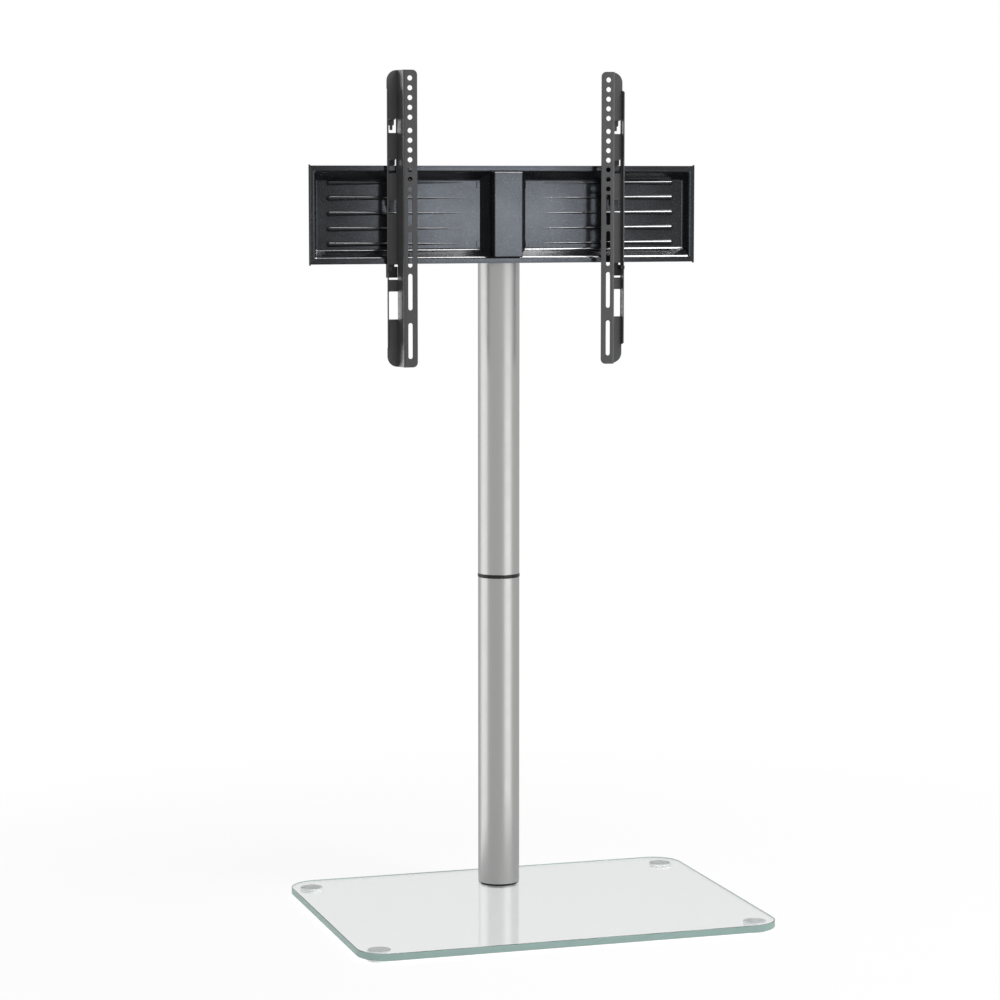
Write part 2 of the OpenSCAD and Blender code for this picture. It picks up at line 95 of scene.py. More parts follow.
# Tubes, ring and cap
TUBE_WALL = 2 * MM
TUBE_CHAMFER = 0.4 * MM
RING_EASE = 0.9 * MM
CAP_FLANGE = 3 * MM
CAP_SHOULDER = 2.2 * MM
CAP_WALL = 2 * MM
CAP_EASE = 1.2 * MM

# Mount pan
SHEET = 2 * MM
RIM = 8.5 * MM
RECESS_DEPTH = 14 * MM
SLOPE_RUN = 11 * MM
END_RUN = 4 * MM
LIP_DEPTH = 4 * MM
EAR_RISE = 1.5 * MM
END_FLANGE = 2 * MM
END_EASE = 0.6 * MM
PRESS_RADIUS = 2.2 * MM
PAN_EASE = 0.3 * MM
WINDOW_HALF_W = 31 * MM
WINDOW_RISE = 47.5 * MM
NOTCH_GAP = 0.8 * MM
RIB_COUNT = 5
RIB_PITCH = 21.6 * MM
RIB_SHIFT = 2 * MM
RIB_RADIUS = 3.8 * MM
RIB_TIP_RADIUS = 0.5 * MM
RIB_LEAST_RADIUS = 0.05 * MM
RIB_INNER_X = 62 * MM
RIB_OUTER_X = 255 * MM
RIB_WALL = 1.2 * MM
RIB_END_STEPS = 6
RIB_END_SHARE = 0.02

# Centre channel
CHANNEL_FACE_W = 42.5 * MM
CHANNEL_NECK_W = 46 * MM
CHANNEL_BASE_W = 68 * MM
CHANNEL_REACH = 15 * MM
CHANNEL_BEND = 1.6 * MM
CHANNEL_LEAN = 3 * MM
CHANNEL_EASE = 0.25 * MM
FLARE_END_SHARE = 0.3
TAB_RISE = 42 * MM
TAB_W = 5 * MM
TAB_H = 9 * MM
TAB_SHEET = 1.2 * MM
TAB_EASE = 0.4 * MM

# Rails, from the hole line outwards, from the front face backwards and from the top end down
RAIL_SHEET = 1.5 * MM
RAIL_DEPTH = 22.3 * MM
RAIL_STEP = RAIL_DEPTH - RAIL_SHEET
RAIL_LENGTH = 416 * MM
FLANGE_IN = 10.5 * MM
FLANGE_OUT = 9.3 * MM
WEB_SLANT = 4.1 * MM
REAR_OUT = 28 * MM
RETURN_DEPTH = 7.9 * MM
RETURN_LEAN = 1.5 * MM
RETURN_TOP_DROP = 26 * MM
RETURN_END_DROP = 389 * MM
RETURN_SLANT = 2 * MM
FOLD_RADIUS = 2.4 * MM
FLANGE_CORNER = 7 * MM
REAR_CORNER = 15 * MM
HOLE_RADIUS = 3.6 * MM
HOLE_PITCH = 13.6 * MM
TOP_HOLE_DROP = 11.5 * MM
HOLE_GAP = 18.4 * MM
UPPER_HOLES = 5
LOWER_HOLES = 7
SLOT_RADIUS = 3.25 * MM
SLOT_DROP_SHARES = (0.47, 0.6024, 0.7451, 0.9104)
SLOT_LENGTH_SHARES = (0.1058, 0.1202, 0.1231, 0.1212)
HOOK_DROPS = (67.5 * MM, 124 * MM, 180.5 * MM)
HOOK_IN = 14.5 * MM
HOOK_OUT = 25.5 * MM
HOOK_OPENING_H = 20 * MM
HOOK_ROOT_W = 8.4 * MM
HOOK_TIP_W = 4 * MM
HOOK_BACK = 6.4 * MM
HOOK_SHOULDER = 8.5 * MM
HOOK_STEP = 1.5 * MM
HOOK_DOWN = 16 * MM
HOOK_BEND = 2.5 * MM
HOOK_TIP_CORNER = 1.2 * MM
WINDOW_IN = 12.5 * MM
WINDOW_OUT = 26 * MM
LATCH_WINDOW = (271.8 * MM, 21.2 * MM)
FINGER_WINDOW = (309.7 * MM, 39.2 * MM)
PUNCH_CORNER = 0.8 * MM
PUNCH_PAST = 1 * MM

# Small pieces
EASE = 0.35 * MM
GLIDE_EASE = 0.5 * MM
LATCH_EASE = 0.4 * MM
STRAP_EASE = 0.4 * MM
FITTING_EASE = 0.25 * MM
STUD_RADIUS = 3 * MM
STUD_PITCH = 1 * MM
THREAD_ROOT_SHARE = 0.86

# Finishes
NOISE_SPAN = (0.3, 0.7)
FLECK_FADE = (0.1, 0.45)
COAT_TONE_SCALE = 22
DRAWN_TONE_SCALE = 30
GLASS_TINT = (0.955, 0.965, 0.96)
GLASS_DEPTH_TINT = (0.26, 0.48, 0.42)
GLASS_DENSITY = 3.2
# The glass edge's green and its glow are painted light, standing in for the light that runs inside the
# plate and comes out at its edge
EDGE_GLOW_GREEN = (0.255, 0.355, 0.33)
EDGE_SHADE_SHARE = 0.8

# Surroundings. The directions of the room are shares of Y backwards and of Z upwards
FLOOR_SIZE = 40
FLOOR_COLOUR = (0.9, 0.9, 0.9)
FLOOR_WHITE_SHARE = 0.85
FLOOR_FADE = (0.5, 1.3)
ROOM_FILL = 0.45
ROOM_GLOSS = 0.46
BACK_GLOSS = 0.72
BELOW_GLOSS = 0.15
BACK_FADE = (0.3, 0.8)
HORIZON_FADE = (0.02, 0.2)
BELOW_FADE = (-0.6, -0.3)
MOUNT_MIDDLE = (0, 0.1, 0.95)
PAN_CARD_BLUE = (0.8, 0.89, 1)


# Modelling steps

def select_only(piece):
    bpy.ops.object.select_all(action="DESELECT")
    piece.select_set(True)
    bpy.context.view_layer.objects.active = piece


def settle(piece):
    """Puts the piece's place, turn and size into its mesh."""
    select_only(piece)
    bpy.ops.object.transform_apply(location=True, rotation=True, scale=True)


def add(name, primitive, stretch=(1, 1, 1), **settings):
    """A primitive of the given name, stretched and settled."""
    bpy.ops.object.select_all(action="DESELECT")
    primitive(**settings)
    piece = bpy.context.object
    piece.name = name
    piece.scale = stretch
    settle(piece)
    return piece


def add_box(name, low, high):
    low, high = Vector(low), Vector(high)
    return add(name, bpy.ops.mesh.primitive_cube_add, high - low, size=1, location=(low + high) / 2)


def add_plane(name, width, length, centre, rotation=(0, 0, 0)):
    return add(name, bpy.ops.mesh.primitive_plane_add, (width, length, 1), size=1, location=centre,
               rotation=rotation)


def add_front_plane(name, width, height, centre):
    """A flat sheet across X and Z, facing the viewer."""
    return add_plane(name, width, height, centre, (math.pi / 2, 0, 0))


def add_upright(name, radius, height, centre, **settings):
    """A cylinder along Z."""
    return add(name, bpy.ops.mesh.primitive_cylinder_add, radius=radius, depth=height, location=centre,
               **settings)


def add_pin(name, radius, x, z, y0, y1, vertices=32):
    """A cylinder along Y."""
    return add_upright(name, radius, y1 - y0, (x, (y0 + y1) / 2, z), vertices=vertices,
                       rotation=(math.pi / 2, 0, 0))


def box_of(node):
    """The lowest corner, the highest corner and the middle of a CAD node."""
    low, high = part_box(node)
    return low, high, (low + high) / 2


def pick(piece, kind, test):
    """Leaves the piece in edit mode with its faces, edges or vertices selected where test says so."""
    select_only(piece)
    bpy.ops.object.mode_set(mode="EDIT")
    bpy.ops.mesh.select_mode(type={"faces": "FACE", "edges": "EDGE", "vertices": "VERT"}[kind])
    bpy.ops.mesh.select_all(action="DESELECT")
    bpy.ops.object.mode_set(mode="OBJECT")
    mesh = piece.data
    if kind == "faces":
        for face in mesh.polygons:
            face.select = test(face.center, face.normal)
    elif kind == "edges":
        for edge in mesh.edges:
            a, b = (mesh.vertices[i].co for i in edge.vertices)
            edge.select = test(a, b)
    else:
        for vertex in mesh.vertices:
            vertex.select = test(vertex.co)
    bpy.ops.object.mode_set(mode="EDIT")


def leave():
    bpy.ops.object.mode_set(mode="OBJECT")


def everything(*place):
    return True


def looks_down(centre, normal):
    return normal.z < -FACING


def is_level(a, b):
    return abs(a.z - b.z) < SAME


def extrude(move):
    bpy.ops.mesh.extrude_region_move(TRANSFORM_OT_translate={"value": move})


def resize(value, centre):
    bpy.ops.transform.resize(value=value, center_override=centre)


def face_outwards(piece):
    pick(piece, "faces", everything)
    bpy.ops.mesh.normals_make_consistent(inside=False)
    leave()


def round_edges(piece, test, radius, segments):
    pick(piece, "edges", test)
    bpy.ops.mesh.bevel(offset=radius, segments=segments, affect="EDGES")
    leave()


def round_corners(piece, test, radius, segments):
    pick(piece, "vertices", test)
    bpy.ops.mesh.bevel(offset=radius, segments=segments, affect="VERTICES")
    leave()


def finish_with(piece, kind, **settings):
    """Adds a modifier and applies it."""
    modifier = piece.modifiers.new(kind.title(), kind)
    for name, value in settings.items():
        setattr(modifier, name, value)
    select_only(piece)
    bpy.ops.object.modifier_apply(modifier=modifier.name)


def thicken(piece, thickness):
    """Gives a folded sheet its thickness, behind the face that was modelled."""
    finish_with(piece, "SOLIDIFY", thickness=thickness, offset=-1, use_even_offset=True)


def cut_away(piece, cutter):
    finish_with(piece, "BOOLEAN", operation="DIFFERENCE", object=cutter, solver="EXACT")
    bpy.data.objects.remove(cutter)


def fuse(piece, other):
    finish_with(piece, "BOOLEAN", operation="UNION", object=other, solver="EXACT")
    bpy.data.objects.remove(other)


def join(name, pieces):
    bpy.ops.object.select_all(action="DESELECT")
    for piece in pieces:
        piece.select_set(True)
    bpy.context.view_layer.objects.active = pieces[0]
    bpy.ops.object.join()
    pieces[0].name = name
    return pieces[0]


def ease_edges(piece, width=EASE, angle=40, segments=2):
    finish_with(piece, "BEVEL", width=width, segments=segments, limit_method="ANGLE",
                angle_limit=math.radians(angle))


def smooth(piece, angle=35):
    """Smooth shading that stays even across large flat faces beside narrow bends."""
    select_only(piece)
    bpy.ops.object.shade_smooth_by_angle(angle=math.radians(angle))
    finish_with(piece, "WEIGHTED_NORMAL", mode="FACE_AREA", keep_sharp=True)


def copy_of(piece, name):
    twin = piece.copy()
    twin.data = piece.data.copy()
    twin.name = name
    bpy.context.scene.collection.objects.link(twin)
    return twin


def mirrored(piece, name):
    """A copy across the middle plane, with its faces turned outwards again."""
    twin = copy_of(piece, name)
    twin.scale = (-1, 1, 1)
    settle(twin)
    face_outwards(twin)
    return twin


def dress(piece, node, body, slot):
    """The piece stands for a CAD node, rides on its body and takes the slot's finish."""
    piece.data.materials.clear()
    piece.data.materials.append(finishes[slot])
    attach(piece, body)
    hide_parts(node)


# Shader groups and the steps that they share with the materials

def node_in(tree, kind, **settings):
    """A node with its properties set, and its inputs where the name is one of its sockets."""
    node = tree.nodes.new(kind)
    for name, value in settings.items():
        if hasattr(node, name):
            setattr(node, name, value)
        else:
            node.inputs[name.replace("_", " ").title()].default_value = value
    return node


def calculate(tree, operation, first, second):
    node = node_in(tree, "ShaderNodeMath", operation=operation)
    tree.links.new(first, node.inputs[0])
    tree.links.new(second, node.inputs[1])
    return node.outputs["Value"]


def map_range(tree, source, span, result):
    """Turns the source's values from one span into another, and holds them at its ends."""
    node = tree.nodes.new("ShaderNodeMapRange")
    node.inputs["From Min"].default_value, node.inputs["From Max"].default_value = span
    node.inputs["To Min"].default_value, node.inputs["To Max"].default_value = result
    tree.links.new(source, node.inputs["Value"])
    return node.outputs["Result"]


def mix_colours(tree, factor, first, second):
    node = node_in(tree, "ShaderNodeMix", data_type="RGBA")
    sockets = [socket for socket in node.inputs if socket.type == "RGBA"]
    sockets[0].default_value = (*first, 1)
    sockets[1].default_value = (*second, 1)
    tree.links.new(factor, node.inputs["Factor"])
    return [socket for socket in node.outputs if socket.type == "RGBA"][0]


def mix_shaders(tree, share, first, second, output):
    """Gives the output the first shader, and the second one by its share."""
    mixed = tree.nodes.new("ShaderNodeMixShader")
    tree.links.new(share, mixed.inputs["Fac"])
    tree.links.new(first, mixed.inputs[1])
    tree.links.new(second, mixed.inputs[2])
    tree.links.new(mixed.outputs["Shader"], output.inputs["Surface"])


def new_group(name, inputs, outputs):
    """A group of number sockets, with its own nodes for what comes in and what goes out."""
    group = bpy.data.node_groups.new(name, "ShaderNodeTree")
    for socket, value in inputs.items():
        added = group.interface.new_socket(socket, in_out="INPUT", socket_type="NodeSocketFloat")
        added.default_value = value
    for socket in outputs:
        group.interface.new_socket(socket, in_out="OUTPUT", socket_type="NodeSocketFloat")
    return group, group.nodes.new("NodeGroupInput"), group.nodes.new("NodeGroupOutput")


def make_powder_grain():
    """Powder coat: orange peel as a height, bright flecks as a mask and a slow change of tone."""
    group, given, result = new_group(
        "powder_grain", {"Grains per metre": 1400, "Flecks per metre": 1500, "Fleck share": 0.2},
        ("Height", "Flecks", "Tone"))
    where = group.nodes.new("ShaderNodeTexCoord").outputs["Object"]
    peel = node_in(group, "ShaderNodeTexNoise", detail=2)
    group.links.new(where, peel.inputs["Vector"])
    group.links.new(given.outputs["Grains per metre"], peel.inputs["Scale"])
    group.links.new(peel.outputs["Fac"], result.inputs["Height"])
    cells = group.nodes.new("ShaderNodeTexVoronoi")
    group.links.new(where, cells.inputs["Vector"])
    group.links.new(given.outputs["Flecks per metre"], cells.inputs["Scale"])
    chance = group.nodes.new("ShaderNodeSeparateColor")
    group.links.new(cells.outputs["Color"], chance.inputs["Color"])
    chosen = calculate(group, "LESS_THAN", chance.outputs["Red"], given.outputs["Fleck share"])
    near = map_range(group, cells.outputs["Distance"], FLECK_FADE, (1, 0))
    group.links.new(calculate(group, "MULTIPLY", chosen, near), result.inputs["Flecks"])
    tone = node_in(group, "ShaderNodeTexNoise", detail=3, scale=COAT_TONE_SCALE)
    group.links.new(where, tone.inputs["Vector"])
    group.links.new(tone.outputs["Fac"], result.inputs["Tone"])
    return group


def make_drawn_lines():
    """Fine lines along Z, as on drawn and satin finished tube."""
    group, given, result = new_group(
        "drawn_lines", {"Lines per metre": 2600, "Stretch": 0.008}, ("Height", "Tone"))
    where = group.nodes.new("ShaderNodeTexCoord").outputs["Object"]
    squash = node_in(group, "ShaderNodeCombineXYZ", x=1, y=1)
    group.links.new(given.outputs["Stretch"], squash.inputs["Z"])
    long_way = node_in(group, "ShaderNodeVectorMath", operation="MULTIPLY")
    group.links.new(where, long_way.inputs[0])
    group.links.new(squash.outputs["Vector"], long_way.inputs[1])
    lines = node_in(group, "ShaderNodeTexNoise", detail=3)
    group.links.new(long_way.outputs["Vector"], lines.inputs["Vector"])
    group.links.new(given.outputs["Lines per metre"], lines.inputs["Scale"])
    group.links.new(lines.outputs["Fac"], result.inputs["Height"])
    tone = node_in(group, "ShaderNodeTexNoise", detail=2, scale=DRAWN_TONE_SCALE)
    group.links.new(where, tone.inputs["Vector"])
    group.links.new(tone.outputs["Fac"], result.inputs["Tone"])
    return group


# Materials

def new_material(name, colour, roughness, **sockets):
    material = bpy.data.materials.new(name)
    material.use_nodes = True
    shader = material.node_tree.nodes["Principled BSDF"]
    shader.inputs["Base Color"].default_value = (*colour, 1)
    shader.inputs["Roughness"].default_value = roughness
    for socket, value in sockets.items():
        shader.inputs[socket.replace("_", " ")].default_value = value
    material.diffuse_color = (*colour, 1)
    return material, material.node_tree, shader


def place_group(tree, group, **values):
    node = tree.nodes.new("ShaderNodeGroup")
    node.node_tree = group
    for name, value in values.items():
        node.inputs[name.replace("_", " ").capitalize()].default_value = value
    return node


def vary_gloss(tree, shader, tone, roughness, spread):
    """Lets the roughness follow the tone, by the spread to both sides."""
    level = map_range(tree, tone, NOISE_SPAN, (roughness - spread, roughness + spread))
    tree.links.new(level, shader.inputs["Roughness"])


def bump(tree, shader, height, strength, depth):
    node = tree.nodes.new("ShaderNodeBump")
    node.inputs["Strength"].default_value = strength
    node.inputs["Distance"].default_value = depth
    tree.links.new(height, node.inputs["Height"])
    tree.links.new(node.outputs["Normal"], shader.inputs["Normal"])


def powder_coat(name, dark, fleck, roughness, grains, depth, flecks, share, shine=0):
    """Textured powder coat. With shine its flecks are metallic and show where a light is reflected."""
    material, tree, shader = new_material(name, dark, roughness)
    grain = place_group(tree, powder_grain, grains_per_metre=grains, flecks_per_metre=flecks,
                        fleck_share=share)
    tree.links.new(mix_colours(tree, grain.outputs["Flecks"], dark, fleck), shader.inputs["Base Color"])
    vary_gloss(tree, shader, grain.outputs["Tone"], roughness, spread=0.04)
    if shine:
        metallic = map_range(tree, grain.outputs["Flecks"], (0, 1), (0, shine))
        tree.links.new(metallic, shader.inputs["Metallic"])
    bump(tree, shader, grain.outputs["Height"], strength=0.5, depth=depth)
    return material


def moulded(name, colour, roughness, grains, depth, glow=0):
    """Moulded plastic or rubber. Glow stands for the light that a translucent one lets through."""
    material, tree, shader = new_material(name, colour, roughness, Emission_Strength=glow)
    shader.inputs["Emission Color"].default_value = (*colour, 1)
    grain = place_group(tree, powder_grain, grains_per_metre=grains, fleck_share=0)
    vary_gloss(tree, shader, grain.outputs["Tone"], roughness, spread=0.05)
    bump(tree, shader, grain.outputs["Height"], strength=0.4, depth=depth)
    return material


def metal(name, colour, roughness, lines, depth, strength, stretch=0.008):
    """Bare metal with drawn lines along Z, or with an even grain where stretch is 1."""
    material, tree, shader = new_material(name, colour, roughness, Metallic=1)
    drawn = place_group(tree, drawn_lines, lines_per_metre=lines, stretch=stretch)
    vary_gloss(tree, shader, drawn.outputs["Tone"], roughness, spread=0.03)
    bump(tree, shader, drawn.outputs["Height"], strength, depth)
    return material


def clear_glass():
    material, tree, shader = new_material("clear_glass", GLASS_TINT, roughness=0, Transmission_Weight=1,
                                          IOR=1.5)
    tint = tree.nodes.new("ShaderNodeVolumeAbsorption")
    tint.inputs["Color"].default_value = (*GLASS_DEPTH_TINT, 1)
    tint.inputs["Density"].default_value = GLASS_DENSITY
    tree.links.new(tint.outputs["Volume"], tree.nodes["Material Output"].inputs["Volume"])
    return material


def edge_glow_paint():
    """The edge of the glass as an opaque green that glows: painted light standing in for the light that
    runs inside the plate and comes out green. Noise makes some patches a darker green.
    """
    material, tree, shader = new_material("glass_edge_glow_paint", EDGE_GLOW_GREEN, roughness=0.12, Emission_Strength=0.4)
    shader.inputs["Emission Color"].default_value = (*EDGE_GLOW_GREEN, 1)
    grain = place_group(tree, powder_grain, grains_per_metre=60, fleck_share=0)
    deep = [EDGE_SHADE_SHARE * value for value in EDGE_GLOW_GREEN]
    green = mix_colours(tree, grain.outputs["Height"], EDGE_GLOW_GREEN, deep)
    tree.links.new(green, shader.inputs["Base Color"])
    return material


powder_grain = make_powder_grain()
drawn_lines = make_drawn_lines()
finishes = {
    "clear_glass": clear_glass(),
    "satin_aluminium": metal("satin_aluminium", (0.74, 0.74, 0.73), roughness=0.32, lines=2600,
                             depth=0.02 * MM, strength=0.1),
    "zinc_steel": metal("zinc_steel", (0.62, 0.63, 0.65), roughness=0.35, lines=900,
                        depth=0.03 * MM, strength=0.2, stretch=1),
    "gloss_black_plastic": moulded("gloss_black_plastic", (0.012, 0.012, 0.013), roughness=0.2,
                                   grains=900, depth=0.01 * MM),
    "black_plastic": moulded("black_plastic", (0.013, 0.013, 0.014), roughness=0.42, grains=2200,
                             depth=0.04 * MM),
    "black_rubber": moulded("black_rubber", (0.02, 0.02, 0.02), roughness=0.75, grains=1600,
                            depth=0.06 * MM),
    "grey_plastic": moulded("grey_plastic", (0.6, 0.62, 0.62), roughness=0.5, grains=1500,
                            depth=0.04 * MM, glow=0.05),
    "pan_paint": powder_coat("pan_paint", dark=(0.007, 0.0075, 0.0095), fleck=(0.22, 0.26, 0.36),
                             roughness=0.17, grains=2000, depth=0.07 * MM, flecks=1900, share=0.08,
                             shine=0.85),
    "rail_paint": powder_coat("rail_paint", dark=(0.066, 0.066, 0.068), fleck=(0.13, 0.13, 0.135),
                              roughness=0.34, grains=1800, depth=0.06 * MM, flecks=1900, share=0.12),
    "black_paint": powder_coat("black_paint", dark=(0.008, 0.008, 0.009), fleck=(0.05, 0.05, 0.05),
                               roughness=0.4, grains=1800, depth=0.06 * MM, flecks=1900, share=0.08),
}


# Pieces

def build_glass():
    """A plate with round corners and a hole for the bolt's bush. Its polished edge takes its own material,
    an opaque green with a glow, which is painted light in place of the light that comes out of the glass's
    edge.
    """
    low, high, middle = box_of("glass_plate")
    plate = add_plane("clear_plate", high.x - low.x, high.y - low.y, (middle.x, middle.y, low.z))
    round_corners(plate, everything, radius=PLATE_CORNER, segments=24)
    pick(plate, "faces", everything)
    extrude((0, 0, high.z - low.z))
    leave()
    face_outwards(plate)
    round_edges(plate, is_level, radius=PLATE_EASE, segments=3)
    bush_low, bush_high, bush = box_of("glass_bush")
    bush_radius = (bush_high.x - bush_low.x) / 2
    cut_away(plate, add_upright("glass_hole", bush_radius + PLATE_HOLE_PLAY, PLATE_CUTTER,
                                (bush.x, bush.y, middle.z), vertices=48))
    smooth(plate, angle=40)
    dress(plate, "glass_plate", "stand", "clear_glass")
    plate.data.materials.append(edge_glow_paint())

    def is_side(centre, normal):
        return abs(normal.z) < PLATE_SIDE_SHARE and (centre - bush).xy.length > 2 * bush_radius

    pick(plate, "faces", is_side)
    plate.active_material_index = 1
    bpy.ops.object.material_slot_assign()
    leave()
    plate.visible_shadow = False


def build_foot(node):
    """A round glide with eased edges and a shallow ring groove in its sole."""
    low, high, middle = box_of(node)
    foot = add_upright("glide_of_" + node, (high.x - low.x) / 2, high.z - low.z, middle, vertices=64)
    pick(foot, "faces", looks_down)
    bpy.ops.mesh.inset(thickness=SOLE_RIM)
    extrude((0, 0, SOLE_GROOVE_DEPTH))
    bpy.ops.mesh.inset(thickness=SOLE_GROOVE)
    extrude((0, 0, -SOLE_MIDDLE_DROP))
    leave()
    ease_edges(foot, FOOT_EASE, angle=50, segments=3)
    smooth(foot)
    dress(foot, node, "stand", "grey_plastic")


def build_tube(node):
    """A drawn tube: a thin wall with turned chamfers at both ends."""
    low, high, middle = box_of(node)
    tube = add_upright("drawn_" + node, (high.x - low.x) / 2, high.z - low.z, middle, vertices=128,
                       end_fill_type="NOTHING")
    finish_with(tube, "SOLIDIFY", thickness=TUBE_WALL, offset=-1)
    ease_edges(tube, TUBE_CHAMFER, angle=50)
    smooth(tube)
    dress(tube, node, "stand", "satin_aluminium")


def build_ring():
    low, high, middle = box_of("joint_ring")
    ring = add_upright("moulded_ring", (high.x - low.x) / 2, high.z - low.z, middle, vertices=128)
    round_edges(ring, is_level, radius=RING_EASE, segments=4)
    smooth(ring)
    dress(ring, "joint_ring", "stand", "gloss_black_plastic")


def build_cap():
    """A cap with a flange that covers the tube's wall and a hollow plug inside the tube."""
    low, high, middle = box_of("tube_cap")
    plug_depth = high.z - CAP_FLANGE - low.z
    cap = add_upright("moulded_cap", (high.x - low.x) / 2, CAP_FLANGE,
                      (middle.x, middle.y, high.z - CAP_FLANGE / 2), vertices=96)
    pick(cap, "faces", looks_down)
    bpy.ops.mesh.inset(thickness=CAP_SHOULDER)
    extrude((0, 0, -plug_depth))
    bpy.ops.mesh.inset(thickness=CAP_WALL)
    extrude((0, 0, plug_depth))
    leave()
    round_edges(cap, lambda a, b: min(a.z, b.z) > high.z - NEAR, radius=CAP_EASE, segments=4)
    smooth(cap)
    dress(cap, "tube_cap", "stand", "black_plastic")


def add_rib(wall, z, floor_y):
    """A cone that lies half in the pan's floor, pointed at its inner end and rounded at its outer end."""
    length = RIB_OUTER_X - RIB_INNER_X
    big = RIB_RADIUS - wall
    small = max(RIB_TIP_RADIUS - wall, RIB_LEAST_RADIUS)
    rib = add("rib", bpy.ops.mesh.primitive_cone_add, vertices=40, radius1=small, radius2=big, depth=length,
              location=(RIB_INNER_X + length / 2, floor_y, z), rotation=(0, math.pi / 2, 0))
    turns = [math.pi / 2 * step / RIB_END_STEPS for step in range(RIB_END_STEPS + 1)]
    pick(rib, "faces", lambda centre, normal: normal.x > FACING)
    for turn, next_turn in zip(turns, turns[1:]):
        extrude((big * (math.sin(next_turn) - math.sin(turn)), 0, 0))
        share = max(math.cos(next_turn), RIB_END_SHARE) / math.cos(turn)
        resize((1, share, share), (RIB_OUTER_X, floor_y, z))
    leave()
    return rib


def add_ribs(wall, middle_z, floor_y):
    """All ribs of both sides, as one piece: their outside, or with a wall their inside."""
    ribs = []
    for row in range(RIB_COUNT):
        z = middle_z + RIB_SHIFT + (row - (RIB_COUNT - 1) / 2) * RIB_PITCH
        ribs.append(add_rib(wall, z, floor_y))
        ribs.append(mirrored(ribs[-1], "rib"))
    return join("ribs", ribs)


def press_pan(front_y, middle_z, half_w, half_h):
    """The pan's sheet: a flat rim, sloping walls, a floor, and lips turned back at top and bottom."""
    front = Vector((0, front_y, middle_z))
    mouth_w = half_w - RIM + END_FLANGE
    mouth_h = half_h - RIM
    lip_y = front_y + LIP_DEPTH
    pan = add_front_plane("pressed_pan", 2 * half_w, 2 * half_h, front)
    pick(pan, "faces", everything)
    bpy.ops.mesh.inset(thickness=RIM)
    resize((mouth_w / (half_w - RIM), 1, 1), front)
    extrude((0, RECESS_DEPTH, 0))
    resize(((mouth_w - END_RUN) / mouth_w, 1, (mouth_h - SLOPE_RUN) / mouth_h),
           front + Vector((0, RECESS_DEPTH, 0)))
    leave()
    pick(pan, "edges", lambda a, b: min(abs(a.z - middle_z), abs(b.z - middle_z)) > half_h - NEAR
         and abs(a.z - b.z) < NEAR)
    extrude((0, LIP_DEPTH, 0))
    leave()

    def is_fold(a, b):
        on_end = min(abs(a.x), abs(b.x)) > half_w - NEAR
        on_lip = min(a.y, b.y) > lip_y - NEAR and max(a.y, b.y) < lip_y + NEAR
        return not (on_end or on_lip)

    round_edges(pan, is_fold, radius=PRESS_RADIUS, segments=4)
    thicken(pan, SHEET)
    return pan


def pan_openings(middle_z, half_h, floor_y):
    """What makes room for the tube: a window in the pan's floor and a round notch in its bottom wall."""
    tube_low, tube_high, tube = box_of("upper_tube")
    window = add_box("floor_window", (-WINDOW_HALF_W, floor_y - NEAR, middle_z - WINDOW_RISE),
                     (WINDOW_HALF_W, floor_y + 2 * SHEET, middle_z + WINDOW_RISE))
    notch = add_upright("notch", (tube_high.x - tube_low.x) / 2 + NOTCH_GAP, 2 * half_h,
                        (tube.x, tube.y, middle_z - half_h - NEAR), vertices=96)
    return window, notch


def add_pan_end(side, low, high, half_w):
    """The upright flange at one end of the pan, a little higher than the rim."""
    left_x, right_x = sorted((side * half_w, side * (half_w + END_FLANGE)))
    end = add_box("pan_end", (left_x, low.y, low.z), (right_x, low.y + LIP_DEPTH, high.z))
    ease_edges(end, END_EASE, segments=3)
    return end


def build_pan():
    """The pressed pan, with its openings, its ribs and its flanged ends."""
    low, high, middle = box_of("mount_pan")
    half_h = (high.z - low.z) / 2 - EAR_RISE
    half_w = (high.x - low.x) / 2 - END_FLANGE
    floor_y = low.y + RECESS_DEPTH
    pan = press_pan(low.y, middle.z, half_w, half_h)
    for opening in pan_openings(middle.z, half_h, floor_y):
        cut_away(pan, opening)
    fuse(pan, add_ribs(0, middle.z, floor_y))
    cut_away(pan, add_ribs(RIB_WALL, middle.z, floor_y))
    ease_edges(pan, PAN_EASE, angle=50)
    ends = [add_pan_end(side, low, high, half_w) for side in (LEFT, RIGHT)]
    pan = join("pressed_pan", [pan] + ends)
    smooth(pan, angle=32)
    dress(pan, "mount_pan", "stand", "pan_paint")


def add_weld_tab(side, end, floor_y, middle_z):
    """A small tab beside the channel's foot, near its upper or lower end."""
    left_x, right_x = sorted((side * CHANNEL_BASE_W / 2, side * (CHANNEL_BASE_W / 2 + TAB_W)))
    z = middle_z + end * TAB_RISE
    tab = add_box("weld_tab", (left_x, floor_y - TAB_SHEET, z - TAB_H / 2),
                  (right_x, floor_y, z + TAB_H / 2))
    ease_edges(tab, TAB_EASE)
    return tab


